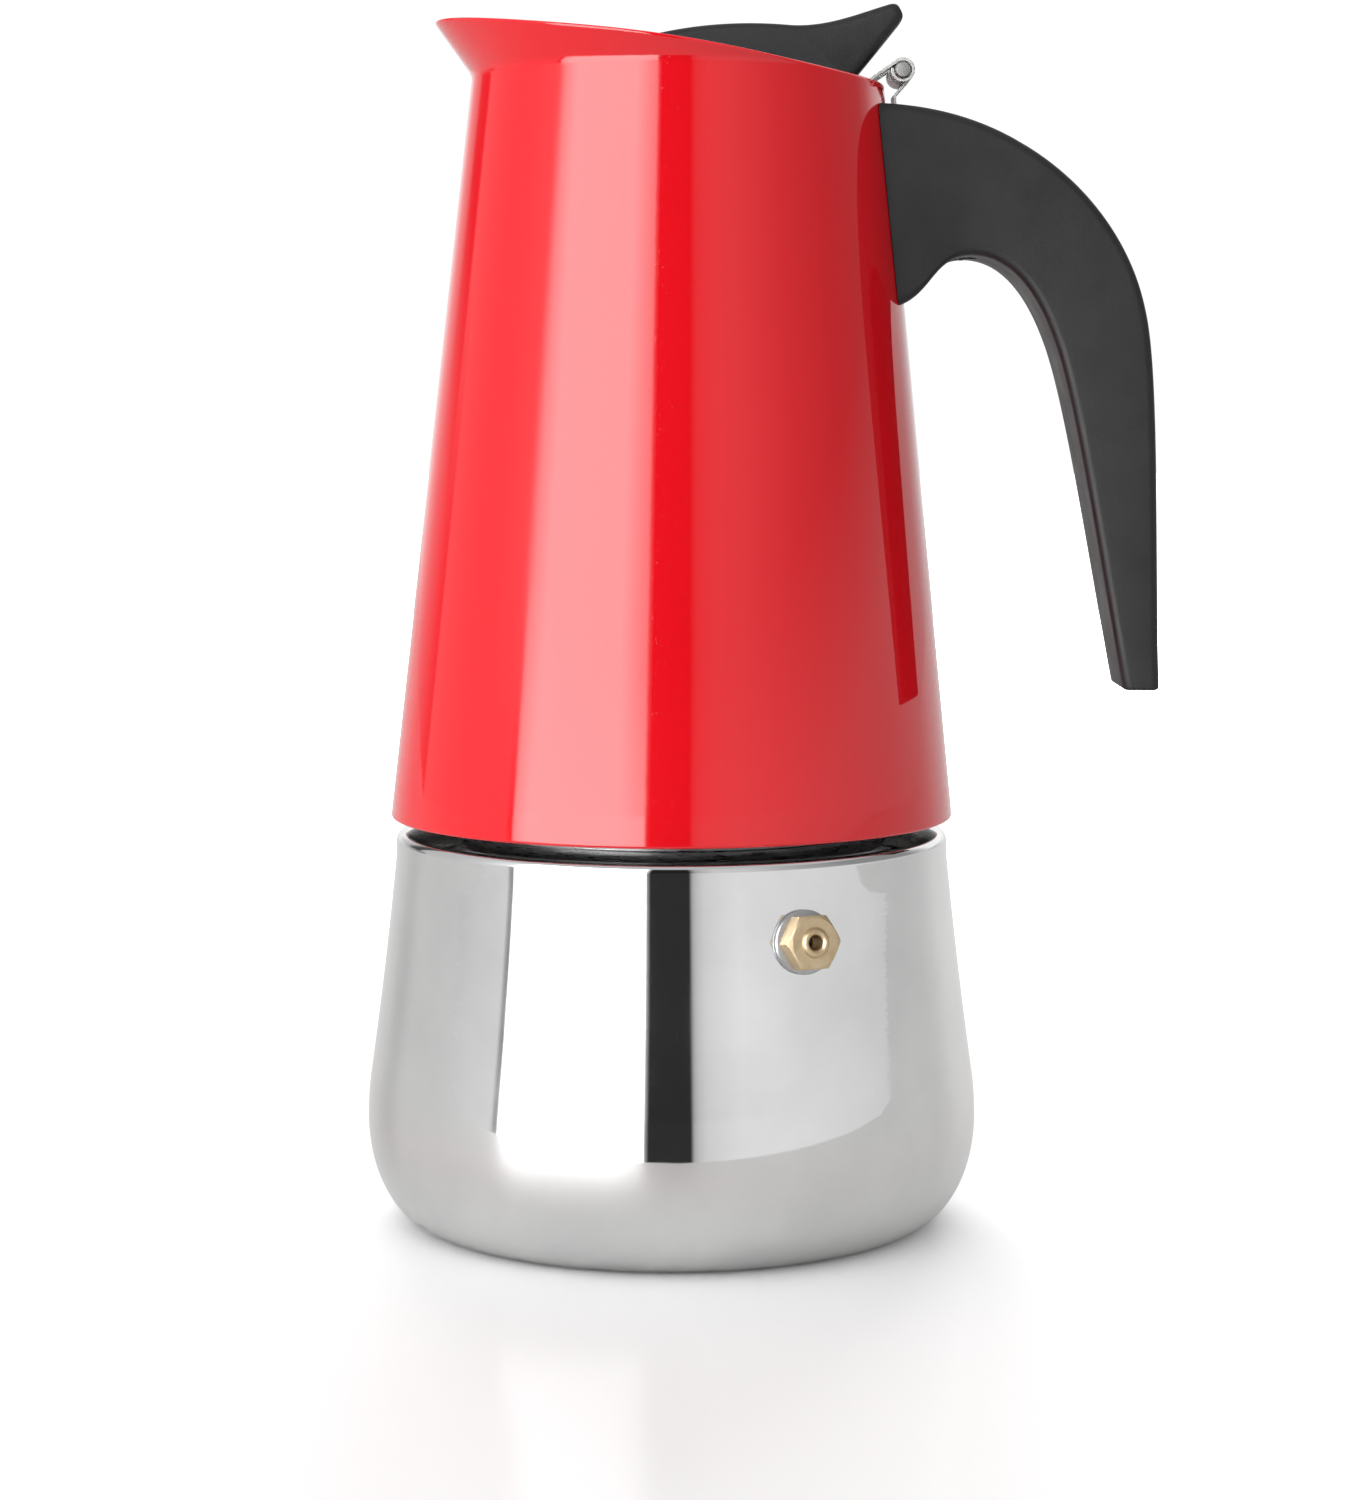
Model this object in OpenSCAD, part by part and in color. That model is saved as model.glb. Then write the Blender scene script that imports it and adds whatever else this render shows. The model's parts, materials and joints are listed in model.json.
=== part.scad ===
// Stove-top moka pot. Origin at the centre of the base's underside, +Z up, handle towards +X,
// spout towards -X, safety valve towards -Y. All sizes in millimetres.

/* [Part] */
// Piece to draw

/* [Boiler] */
// Largest radius of the boiler
boiler_r = 50.55; // [35:0.05:60]
// Radius of the flat underside
foot_r = 40; // [25:0.5:50]
// Height of the shoulder's top
shoulder_z = 66.2; // [50:0.1:80]
// Sheet thickness of the boiler
boiler_t = 1.0; // [0.6:0.1:2]
// Inner radius of the neck
neck_r = 31.9; // [25:0.1:40]
// Height of the neck's top edge
neck_z = 76; // [70:0.1:90]

/* [Safety valve] */
// Direction of the valve, turned from -Y towards +X
valve_turn = 26; // [0:1:90]
// Height of the valve's axis at the wall
valve_z = 52.4; // [30:0.1:60]
// Width across the flats of the valve's hexagon
valve_af = 8.2; // [6:0.1:12]

/* [Jug] */
// Height of the jug's bottom edge
jug_z = 67.4; // [60:0.1:80]
// Radius of the jug's bottom edge
jug_r = 46.4; // [35:0.1:60]
// Loss of radius per millimetre of height
jug_slope = 0.1085; // [0.05:0.0005:0.2]
// Height where the mouth begins to flare
flare_z = 188; // [150:0.5:220]
// Height of the floor's underside
floor_z = 79.8; // [75:0.1:90]
// Sheet thickness of the jug
jug_t = 1.0; // [0.6:0.1:2]
// Height of the coffee column
column_z = 160; // [120:1:175]

/* [Handle and hinge] */
// Width of the handle
handle_w = 23; // [14:0.5:26]
// Hinge axis, distance from the pot's axis
hinge_x = 37.2; // [30:0.1:45]
// Hinge axis, height
hinge_z = 188.5; // [180:0.1:200]
// Radius of the hinge pin
pin_r = 1.35; // [0.8:0.05:2]

/* [Hidden] */
eps = 0.01;
lean = 1 / 120;
steel = [0.78, 0.79, 0.8];
brass = [0.8, 0.66, 0.4];
black = [0.12, 0.12, 0.12];
red = [0.85, 0.05, 0.08];

// ---- shapes in closed form ----
// Boiler: elliptic bottom corner, a soft turn above the widest ring, then a slightly hollow wall.
belly_z = 17.5;
turn_z = 25;
wall_top_z = 60.5;
function boiler_out(z) =
  z < belly_z ? foot_r + (boiler_r - foot_r) * sqrt(1 - pow((belly_z - z) / belly_z, 2)) :
  z < turn_z ? boiler_r - 0.00967 * pow(z - belly_z, 2) :
  boiler_r - 0.55 - 0.145 * (z - turn_z) + 0.00062 * pow(z - turn_z, 2);
shoulder_round = 3.2;
shoulder_r = boiler_out(wall_top_z) - 0.1;

// Jug wall: a leaning cone, then a flare that is strongest at the spout. a = angle from -X.
function jug_cx(z) = lean * (z - jug_z);
function jug_cone(z) = jug_r - jug_slope * (z - jug_z);
function flare_k(a) = 0.45 + 0.28 * exp(-pow(a / 25, 2));
function soft(d) = d < -1 ? 0 : d < 1 ? pow(d + 1, 2) / 4 : d;
function fold(a) = abs(a) > 180 ? 360 - abs(a) : abs(a);
function jug_rad(a, z) = jug_cone(min(z, flare_z)) + flare_k(fold(a)) * soft(z - flare_z);
function rim_z(a) = 191.1 + 5.05 * cos(a) + 0.25 * cos(2 * a) + 0.2 * cos(4 * a);
function jug_pt(a, z, off) = [jug_cx(z) - (jug_rad(a, z) - off) * cos(a), -(jug_rad(a, z) - off) * sin(a), z];

// Bezier curves for the handle and the knob
function bez(p, t) = pow(1 - t, 3) * p[0] + 3 * t * pow(1 - t, 2) * p[1] + 3 * t * t * (1 - t) * p[2] + pow(t, 3) * p[3];
function chain(c, t) = let (s = min(floor(t), len(c) - 1)) bez(c[s], t - s);

handle_outer = [
  [[30, 183], [41, 183.2], [49.5, 180.6], [56, 176.8]],
  [[56, 176.8], [66, 171.2], [74, 161.5], [76.5, 150]],
  [[76.5, 150], [79, 140], [78.6, 110], [79.6, 88.6]]];
handle_inner = [
  [[31, 150.2], [42.5, 149.3], [40.5, 158.8], [48.3, 158.8]],
  [[48.3, 158.8], [54.5, 158.8], [58.8, 153.2], [61.7, 145.4]],
  [[61.7, 145.4], [65.2, 136.5], [69, 113], [73.7, 88.6]]];
knob_top = [
  [[-9, 192.6], [-2, 195.2], [8, 196.9], [19, 195.95]],
  [[19, 195.95], [25.5, 195.5], [31, 198.2], [36.3, 199.6]]];
knob_low = [
  [[-9, 191.9], [4, 190.3], [17, 188.7], [29.2, 186.9]],
  [[29.2, 186.9], [32, 190.3], [34.8, 193.7], [37.6, 197.2]]];

// A ring of points round a section that runs from p (outer) to q (inner) in the XZ plane
ring_n = 24;
function sgn_pow(v, e) = sign(v) * pow(abs(v), e);
function section(p, q, w, e) = [for (i = [0:ring_n - 1])
  let (a = 360 * i / ring_n, u = sgn_pow(cos(a), e), v = sgn_pow(sin(a), e))
  [(p[0] + q[0]) / 2 + u * (p[0] - q[0]) / 2, v * w / 2, (p[1] + q[1]) / 2 + u * (p[1] - q[1]) / 2]];

module loft(rings) {
  n = len(rings[0]);
  m = len(rings);
  pts = [for (r = rings) for (p = r) p];
  side = [for (j = [0:m - 2]) for (i = [0:n - 1]) let (k = (i + 1) % n)
    each [[j * n + i, j * n + k, (j + 1) * n + k], [j * n + i, (j + 1) * n + k, (j + 1) * n + i]]];
  first = [for (i = [0:n - 1]) n - 1 - i];
  last = [for (i = [0:n - 1]) (m - 1) * n + i];
  polyhedron(pts, concat(side, [first], [last]), convexity = 8);
}

// Solid of the jug's outside, grown by g, for cutting what stands against it
module jug_cutter(g) {
  loft([for (z = [jug_z, flare_z]) [for (i = [0:95]) let (a = i * 3.75)
    [jug_cx(z) - (jug_cone(z) + g) * cos(a), (jug_cone(z) + g) * sin(a), z]]]);
}

// Local frame of the valve: origin on the outside of the wall, +Z along the valve's axis, outwards
valve_tilt = 6.4;
valve_rho = boiler_out(valve_z);
module at_valve() {
  translate([valve_rho * sin(valve_turn), -valve_rho * cos(valve_turn), valve_z])
    rotate([0, 0, valve_turn - 90]) rotate([0, 90 - valve_tilt, 0]) children();
}

// ---- boiler ----
module boiler_shell() {
  color(steel) difference() {
    rotate_extrude($fn = 128) polygon(concat(
      [[0, 0], [foot_r, 0]],
      [for (i = [1:9]) let (b = 10 * i) [foot_r + (boiler_r - foot_r) * sin(b), belly_z * (1 - cos(b))]],
      [for (z = [20, 22.5, 25, 30, 36, 42, 48, 54, wall_top_z]) [boiler_out(z), z]],
      [for (i = [0:6]) let (b = 15 * i) [shoulder_r - shoulder_round * (1 - cos(b)),
        shoulder_z - shoulder_round * (1 - sin(b))]],
      [[neck_r, shoulder_z], [neck_r, shoulder_z - boiler_t]],
      [for (i = [6:-1:0]) let (b = 15 * i) [shoulder_r - shoulder_round + (shoulder_round - boiler_t) * cos(b),
        shoulder_z - shoulder_round + (shoulder_round - boiler_t) * sin(b)]],
      [for (z = [wall_top_z, 54, 48, 42, 36, 30, 25, 22.5, 20]) [boiler_out(z) - boiler_t, z]],
      [for (i = [9:-1:0]) let (b = 10 * i) [foot_r + (boiler_r - boiler_t - foot_r) * sin(b),
        belly_z - (belly_z - boiler_t) * cos(b)]],
      [[0, boiler_t]]));
    at_valve() translate([0, 0, -4]) cylinder(r = 3.1, h = 8, $fn = 40);
  }
}

// Neck standing on the shoulder, with the thread's ridges on its outside
thread_pitch = 3;
module neck_thread_ring() {
  base_r = neck_r + 1;
  color(steel) rotate_extrude($fn = 96) polygon(concat(
    [[neck_r, shoulder_z], [base_r + 0.4, shoulder_z]],
    [for (k = [0:1]) each [[base_r + 0.4, 68.6 + thread_pitch * k], [base_r + 1, 69.3 + thread_pitch * k],
      [base_r + 1, 69.9 + thread_pitch * k], [base_r + 0.4, 70.6 + thread_pitch * k]]],
    [[base_r + 0.4, 75.4], [base_r, neck_z], [neck_r, neck_z]]));
}

// ---- safety valve ----
module valve_washer() {
  color(steel) at_valve() difference() {
    translate([0, 0, 0.03]) cylinder(r = 5.03, h = 0.97, $fn = 64);
    translate([0, 0, -1]) cylinder(r = 3.15, h = 3, $fn = 40);
  }
}

module valve_body() {
  color(brass) at_valve() difference() {
    union() {
      intersection() {
        translate([0, 0, 1]) rotate([0, 0, 30]) cylinder(r = valve_af / 2 / cos(30), h = 3, $fn = 6);
        translate([0, 0, 1]) cylinder(r1 = 9.7, r2 = 3.85, h = 3, $fn = 64);
      }
      translate([0, 0, -9]) cylinder(r = 3.0, h = 10.2, $fn = 48);
      translate([0, 0, 3.9]) cylinder(r1 = 2.35, r2 = 2.0, h = 0.7, $fn = 48);
    }
    translate([0, 0, -8]) cylinder(r = 1.9, h = 9, $fn = 40);
    translate([0, 0, -10]) cylinder(r = 1.2, h = 3, $fn = 32);
    translate([0, 0, 0.5]) cylinder(r = 1.2, h = 5, $fn = 32);
    translate([0, 0, 4.2]) cylinder(r1 = 1.2, r2 = 1.6, h = 0.45, $fn = 32);
  }
}

module valve_lock_nut() {
  color(brass) at_valve() difference() {
    translate([0, 0, -3.9]) rotate([0, 0, 30]) cylinder(r = 4.9, h = 2.5, $fn = 6);
    translate([0, 0, -5]) cylinder(r = 3.05, h = 5, $fn = 48);
  }
}

ball_r = 1.7;
ball_w = -6.75;
module valve_ball() {
  color(steel) at_valve() translate([0, 0, ball_w]) sphere(r = ball_r, $fn = 32);
}

// Helical spring between the ball and the front of the chamber
spring_r = 1.3;
wire_r = 0.25;
module valve_spring() {
  low = ball_w + 1.4;
  turns = 5;
  steps = turns * 16;
  rings = [for (s = [0:steps]) let (f = s / steps, a = 360 * turns * f, zc = low + (0.7 - low) * f)
    [for (i = [0:7]) let (b = -45 * i) [(spring_r + wire_r * cos(b)) * cos(a), (spring_r + wire_r * cos(b)) * sin(a),
      zc + wire_r * sin(b)]]];
  color(steel) at_valve() loft(rings);
}

// ---- funnel ----
basket_r = 31.3;
basket_t = 0.7;
basket_low = 50;
tube_r = 5.5;
module funnel_basket() {
  color(steel) rotate_extrude($fn = 96) polygon([
    [33.4, neck_z], [33.4, neck_z + 0.8], [basket_r - basket_t, neck_z + 0.8], [basket_r - basket_t, basket_low],
    [tube_r + 0.6, 37], [tube_r + 0.05, 36.6], [tube_r + 0.05, 33], [tube_r + basket_t, 33], [tube_r + basket_t, 36.2],
    [basket_r, basket_low - 0.3], [basket_r, neck_z]]);
}

module hole_rings(rows, r, step, z) {
  translate([0, 0, z]) cylinder(r = r, h = 4, $fn = 16);
  for (k = [1:rows]) for (i = [0:6 * k - 1]) rotate([0, 0, 60 * i / k])
    translate([step * k, 0, z]) cylinder(r = r, h = 4, $fn = 16);
}

module funnel_strainer() {
  color(steel) difference() {
    translate([0, 0, basket_low + 0.3]) cylinder(r = basket_r - basket_t - 0.05, h = 0.7, $fn = 96);
    hole_rings(4, 1.1, 6.6, basket_low - 1);
  }
}

module funnel_tube() {
  color(steel) rotate_extrude($fn = 64) polygon([
    [tube_r, 6.5], [tube_r, 37.6], [tube_r - basket_t, 37.6], [tube_r - basket_t, 6.5]]);
}

// ---- seal and filter, in the thread collar ----
gasket_z = neck_z + 0.8;
module gasket() {
  color([0.9, 0.9, 0.88]) rotate_extrude($fn = 96) polygon([
    [27, gasket_z], [33.0, gasket_z], [33.3, gasket_z + 0.4], [33.3, floor_z - 0.4], [33.0, floor_z], [27, floor_z]]);
}

module filter_plate() {
  color(steel) difference() {
    rotate_extrude($fn = 96) polygon([
      [0, 77.6], [25.4, 77.6], [26.95, 78.9], [26.95, floor_z], [26.4, floor_z], [26.4, 79.2], [25.1, 78.2], [0, 78.2]]);
    hole_rings(5, 0.7, 4.5, 76);
  }
}

// ---- jug ----
module thread_collar() {
  bore_r = neck_r + 2.3;
  color(steel) rotate_extrude($fn = 96) polygon(concat(
    [[bore_r + 2, 68], [bore_r + 2, floor_z], [bore_r, floor_z], [bore_r, 77]],
    [for (k = [2:-1:0]) each [[bore_r, 71.4 + 2 * k + 0.6], [bore_r + 0.5, 71.4 + 2 * k + 0.2],
      [bore_r + 0.5, 71.4 + 2 * k - 0.2], [bore_r, 71.4 + 2 * k - 0.6]]],
    [[bore_r, 68]]));
}

module jug_floor() {
  edge_r = jug_cone(floor_z + 5) - jug_t - 0.2;
  color(steel) rotate_extrude($fn = 96) polygon([
    [7.2, floor_z], [edge_r - 2.5, floor_z], [edge_r - 0.8, floor_z + 0.7], [edge_r, floor_z + 2.4], [edge_r, floor_z + 5],
    [edge_r - 0.8, floor_z + 5], [edge_r - 0.8, floor_z + 2.6], [edge_r - 2.5, floor_z + 1], [7.2, floor_z + 1]]);
}

column_t = 0.8;
module column_tube() {
  z0 = floor_z + 1;
  color(steel) rotate_extrude($fn = 64) polygon([
    [8, z0], [12, z0], [12, z0 + 0.8], [9.6, z0 + 1.4], [9, z0 + 3], [6.8, column_z], [6.8 - column_t, column_z],
    [9 - column_t, z0 + 3], [8, z0 + 1.2]]);
}

// Cap pressed over the column's top, with two side windows that turn the coffee outwards
module column_cap() {
  color(steel) difference() {
    rotate_extrude($fn = 64) polygon([
      [0, column_z + 11], [3.4, column_z + 10.6], [6.1, column_z + 9], [7.7, column_z + 6], [7.7, column_z - 4],
      [6.95 + 0.25, column_z - 4], [6.95, column_z - 0.1], [6.9, column_z + 6], [5.5, column_z + 8.4], [3.1, column_z + 9.8], [0, column_z + 10.2]]);
    for (s = [0, 180]) rotate([0, 0, s + 90]) translate([3, -2.6, column_z + 1]) cube([8, 5.2, 4.4]);
  }
}

// Red outer wall with the flared mouth and the spout; open at the bottom and the top
module jug_shell() {
  n = 96;
  up = [jug_z, 100, 130, 160, 180, 184.6];
  frac = [0.1, 0.22, 0.34, 0.48, 0.64, 0.82, 1];
  function row(j, a, off) = j < len(up) ? jug_pt(a, up[j], off) :
    jug_pt(a, up[len(up) - 1] + (rim_z(a) - up[len(up) - 1]) * frac[j - len(up)], off);
  rows = len(up) + len(frac);
  outer = [for (j = [0:rows - 1]) [for (i = [0:n - 1]) row(j, 360 * i / n, 0)]];
  inner = [for (j = [rows - 1:-1:0]) [for (i = [0:n - 1]) row(j, 360 * i / n, jug_t)]];
  all = concat(outer, inner);
  m = len(all);
  pts = [for (r = all) for (p = r) p];
  faces = [for (j = [0:m - 1]) for (i = [0:n - 1]) let (k = (i + 1) % n, l = (j + 1) % m)
    each [[j * n + i, l * n + k, j * n + k], [j * n + i, l * n + i, l * n + k]]];
  color(red) polyhedron(pts, faces, convexity = 6);
}

// ---- handle ----
module handle_solid() {
  steps = 9;
  loft([for (s = [0:3 * steps]) let (t = s / steps)
    section(chain(handle_outer, t), chain(handle_inner, t), handle_w - 1.7 * t, 0.42)]);
}

screw_x = 46;
module handle() {
  color(black) difference() {
    handle_solid();
    jug_cutter(0.12);
    translate([30, -3.6, 158]) cube([8.2, 7.2, 30]);
    translate([30, -6.2, 159.6]) cube([9.2, 12.4, 15]);
    translate([30, -5.4, 166.4]) cube([20.5, 10.8, 3]);
    translate([screw_x, 0, 145]) cylinder(r = 2.2, h = 22, $fn = 32);
    translate([screw_x, 0, 145]) cylinder(r = 3.9, h = 16.8, $fn = 40);
  }
}

module handle_bracket() {
  color(steel) difference() {
    union() {
      translate([34, -5.8, 160]) cube([4.7, 11.6, 14]);
      translate([36, -5, 167]) cube([14, 10, 1.8]);
    }
    jug_cutter(0.02);
    translate([30, -3.5, 158]) cube([8.0, 7, 20]);
    translate([screw_x, 0, 160]) cylinder(r = 1.7, h = 12, $fn = 32);
  }
}

module handle_screw() {
  color(steel) translate([screw_x, 0, 0]) difference() {
    union() {
      translate([0, 0, 158.4]) cylinder(r = 1.65, h = 10.4, $fn = 32);
      translate([0, 0, 159]) cylinder(r = 3.5, h = 2.8, $fn = 40);
    }
    translate([-0.5, -4, 158.3]) cube([1, 8, 1.7]);
  }
}

// ---- lid hinge ----
strip_t = 0.53;
loop_in = pin_r + 0.06;
loop_out = loop_in + strip_t;
// Straight strip of thickness strip_t whose left side runs from p to q
module strip(p, q) {
  d = (q - p) / norm(q - p);
  nrm = [-d[1], d[0]] * -strip_t;
  polygon([p, q, q + nrm, p + nrm]);
}

module along_y(y0, y1) {
  translate([0, y1, 0]) rotate([90, 0, 0]) linear_extrude(height = y1 - y0) children();
}

module loop_ring() {
  translate([hinge_x, hinge_z]) circle(r = loop_out, $fn = 48);
}

module hinge_bracket() {
  kink = [36.35, 184.6];
  tan_pt = [hinge_x + loop_out * cos(-43.5), hinge_z + loop_out * sin(-43.5)];
  color(steel) difference() {
    along_y(-3.2, 3.2) {
      loop_ring();
      polygon([kink, tan_pt, tan_pt + [-strip_t * 0.69, strip_t * 0.72], kink + [-strip_t, 0.2],
        kink + [-0.3, -4], [37.4, 160.5], [38.0, 160.5], kink + [0.25, -4]]);
    }
    along_y(-4, 4) translate([hinge_x, hinge_z]) circle(r = loop_in, $fn = 48);
    jug_cutter(0.02);
  }
}

module hinge_pin() {
  color(steel) translate([hinge_x, 7.5, hinge_z]) rotate([90, 0, 0]) rotate_extrude($fn = 48) polygon([
    [0, 0], [1.05, 0], [pin_r, 0.3], [pin_r, 14.7], [1.05, 15], [0, 15]]);
}

// ---- lid ----
lid_dome = 0.6;
lid_t = 0.8;
function lid_edge_z(a) = rim_z(a) - 0.9;
function lid_edge(a) = let (z = lid_edge_z(a), r = min(jug_rad(a, z), jug_rad(a, z - 1)) - jug_t - 0.75)
  [jug_cx(z) - r * cos(a), -r * sin(a), z];
function lid_pt(a, f, dz) = let (e = lid_edge(a), c = [1.0, 0, 190.3])
  [c[0] + (e[0] - c[0]) * f, c[1] + (e[1] - c[1]) * f, c[2] + (e[2] - c[2]) * f + lid_dome * (1 - f * f) + dz];
function lid_top(x) = let (c = 190.3, slope = x < 1 ? (lid_edge(0)[2] - c) / (1 - lid_edge(0)[0]) : (lid_edge(180)[2] - c) / (lid_edge(180)[0] - 1),
  f = abs(x - 1) / (x < 1 ? 1 - lid_edge(0)[0] : lid_edge(180)[0] - 1)) c + slope * abs(x - 1) + lid_dome * (1 - f * f);

module lid_plate() {
  n = 96;
  fr = [1, 0.85, 0.65, 0.4, 0.04];
  top = [for (f = fr) [for (i = [0:n - 1]) lid_pt(-360 * i / n, f, 0)]];
  low = [for (k = [len(fr) - 1:-1:0]) [for (i = [0:n - 1]) lid_pt(-360 * i / n, fr[k], -lid_t)]];
  color(steel) difference() {
    loft(concat(low, top));
    at_knob_screw() translate([0, 0, -3]) cylinder(r = 1.7, h = 6, $fn = 32);
  }
}

// Local frame of the knob's screw: origin on the lid's top, +Z square to the lid
knob_screw_x = 12;
knob_tilt = 9.1;
module at_knob_screw() {
  translate([knob_screw_x, 0, lid_top(knob_screw_x)]) rotate([0, knob_tilt, 0]) children();
}

module lid_hinge_leaf() {
  // tangent to the loop's upper left, down to the lid, then flat along it
  a = 124.7;
  tp = [hinge_x + loop_out * cos(a), hinge_z + loop_out * sin(a)];
  foot = [30.9, lid_top(30.9) + 0.05 + strip_t];
  d = (tp - foot) / norm(tp - foot);
  under = foot + strip_t * [d[1], -d[0]];
  color(steel) union() {
    for (y = [-7, 3.5]) difference() {
      along_y(y, y + 3.5) {
        loop_ring();
        strip(foot, tp);
      }
      along_y(y - 1, y + 5) translate([hinge_x, hinge_z]) circle(r = loop_in, $fn = 48);
    }
    along_y(-7, 7) polygon([foot, [21, lid_top(21) + 0.05 + strip_t], [21, lid_top(21) + 0.05],
      [25.5, lid_top(25.5) + 0.05], [31, lid_top(31) + 0.05], under + 0.3 * d, foot + 0.3 * d]);
  }
}

module lid_knob() {
  steps = 10;
  color(black) difference() {
    loft([for (s = [0:2 * steps]) let (t = s / steps)
      section(chain(knob_top, t), chain(knob_low, t), 11 - 1.2 * t, 0.5)]);
    translate([20.4, -8, 185]) rotate([0, 8.5, 0]) cube([12, 16, 4.1]);
    at_knob_screw() translate([0, 0, -6]) cylinder(r = 1.6, h = 9.4, $fn = 32);
    along_y(-8, 8) polygon(concat([for (x = [-12:2:30]) [x, lid_top(x) + 0.04]], [[30, 180], [-12, 180]]));
  }
}

module knob_screw() {
  color(steel) at_knob_screw() difference() {
    union() {
      translate([0, 0, -1.6]) cylinder(r = 1.5, h = 4.8, $fn = 32);
      translate([0, 0, -3.4]) cylinder(r1 = 2.3, r2 = 3, h = 1.9, $fn = 40);
    }
    translate([-0.4, -3.5, -3.5]) cube([0.8, 7, 1.1]);
  }
}

module knob_washer() {
  color(steel) at_knob_screw() translate([0, 0, -1.5]) difference() {
    cylinder(r = 4.0, h = 0.5, $fn = 48);
    translate([0, 0, -1]) cylinder(r = 1.6, h = 3, $fn = 32);
  }
}

boiler_shell();
neck_thread_ring();
valve_washer();
valve_body();
valve_lock_nut();
valve_spring();
valve_ball();
funnel_basket();
funnel_strainer();
funnel_tube();
gasket();
filter_plate();
thread_collar();
jug_floor();
column_tube();
column_cap();
jug_shell();
handle();
handle_bracket();
handle_screw();
hinge_bracket();
hinge_pin();
lid_plate();
lid_hinge_leaf();
lid_knob();
knob_screw();
knob_washer();
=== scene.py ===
"""Looks for the moka pot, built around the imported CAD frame. Lengths in the helpers are millimetres."""

import json
import math

import bpy
from mathutils import Matrix, Vector


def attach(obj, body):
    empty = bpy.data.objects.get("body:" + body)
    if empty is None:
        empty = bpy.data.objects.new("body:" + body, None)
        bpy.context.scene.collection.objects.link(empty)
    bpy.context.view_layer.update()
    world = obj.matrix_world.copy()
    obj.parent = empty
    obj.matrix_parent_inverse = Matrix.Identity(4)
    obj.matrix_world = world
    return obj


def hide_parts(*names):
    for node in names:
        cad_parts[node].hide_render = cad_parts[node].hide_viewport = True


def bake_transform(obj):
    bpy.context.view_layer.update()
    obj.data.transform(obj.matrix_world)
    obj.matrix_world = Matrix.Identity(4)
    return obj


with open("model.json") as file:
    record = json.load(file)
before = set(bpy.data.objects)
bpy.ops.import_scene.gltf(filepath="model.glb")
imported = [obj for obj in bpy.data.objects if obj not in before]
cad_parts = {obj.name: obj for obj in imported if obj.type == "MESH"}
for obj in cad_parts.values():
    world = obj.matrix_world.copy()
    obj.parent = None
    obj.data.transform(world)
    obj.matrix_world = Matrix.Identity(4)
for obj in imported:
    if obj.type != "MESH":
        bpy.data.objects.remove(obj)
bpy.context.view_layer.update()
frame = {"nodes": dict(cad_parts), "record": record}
MM = 0.001
TAU = 2 * math.pi

# ---------------------------------------------------------------- dimensions, as in the CAD part
BOILER_R, FOOT_R, SHOULDER_Z, BOILER_T = 50.55, 40.0, 66.2, 1.0
BELLY_Z, TURN_Z, WALL_TOP = 17.5, 25.0, 60.5
NECK_R, NECK_Z = 31.9, 76.0
JUG_Z, JUG_R, JUG_SLOPE, FLARE_Z, JUG_T, LEAN = 67.4, 46.4, 0.1085, 188.0, 1.0, 1 / 120
FLOOR_Z, COLUMN_Z = 79.8, 160.0
HINGE, PIN_R, STRIP_T = (37.2, 188.5), 1.35, 0.53
PITCH, THREAD_START = 3.0, 68.6
HANDLE_W, HANDLE_TAPER, KNOB_W, KNOB_TAPER = 23, 1.7, 11, 1.2
LOOP_IN = PIN_R + 0.06
LOOP_OUT = LOOP_IN + STRIP_T
LID_DOME, LID_T = 0.6, 0.8


def boiler_out(z):
    if z < BELLY_Z:
        return FOOT_R + (BOILER_R - FOOT_R) * math.sqrt(max(0, 1 - ((BELLY_Z - z) / BELLY_Z) ** 2))
    if z < TURN_Z:
        return BOILER_R - 0.00967 * (z - BELLY_Z) ** 2
    return BOILER_R - 0.55 - 0.145 * (z - TURN_Z) + 0.00062 * (z - TURN_Z) ** 2


def jug_cx(z):
    return LEAN * (z - JUG_Z)


def jug_cone(z):
    return JUG_R - JUG_SLOPE * (z - JUG_Z)


def fold(a):
    return 360 - abs(a) if abs(a) > 180 else abs(a)


def soft(d):
    return 0 if d < -1 else ((d + 1) ** 2 / 4 if d < 1 else d)


def jug_rad(a, z):
    return jug_cone(min(z, FLARE_Z)) + (0.45 + 0.28 * math.exp(-((fold(a) / 25) ** 2))) * soft(z - FLARE_Z)


def rim_z(a):
    r = math.radians(a)
    return 191.1 + 5.05 * math.cos(r) + 0.25 * math.cos(2 * r) + 0.2 * math.cos(4 * r)


def lid_edge(a):
    z = rim_z(a) - 0.9
    r = min(jug_rad(a, z), jug_rad(a, z - 1)) - JUG_T - 0.75
    t = math.radians(a)
    return Vector((jug_cx(z) - r * math.cos(t), -r * math.sin(t), z))


def lid_at(a, f, dz):
    e, c = lid_edge(a), Vector((1.0, 0, 190.3))
    p = c + (e - c) * f
    p.z += LID_DOME * (1 - f * f) + dz
    return p


def lid_top(x):
    e = lid_edge(0) if x < 1 else lid_edge(180)
    f = (x - 1) / (e.x - 1)
    return 190.3 + (e.z - 190.3) * f + LID_DOME * (1 - f * f)


def curve_at(chain, t):
    """Point on a chain of Bezier curves; t counts whole curves."""
    s = min(int(t), len(chain) - 1)
    u = t - s
    weights = ((1 - u) ** 3, 3 * u * (1 - u) ** 2, 3 * u * u * (1 - u), u**3)
    return Vector([sum(w * point[i] for w, point in zip(weights, chain[s])) for i in (0, 1)])


# ---------------------------------------------------------------- materials
def nodes_of(name):
    m = bpy.data.materials.new(name)
    m.use_nodes = True
    t = m.node_tree
    return m, t, t.nodes["Principled BSDF"]


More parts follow.
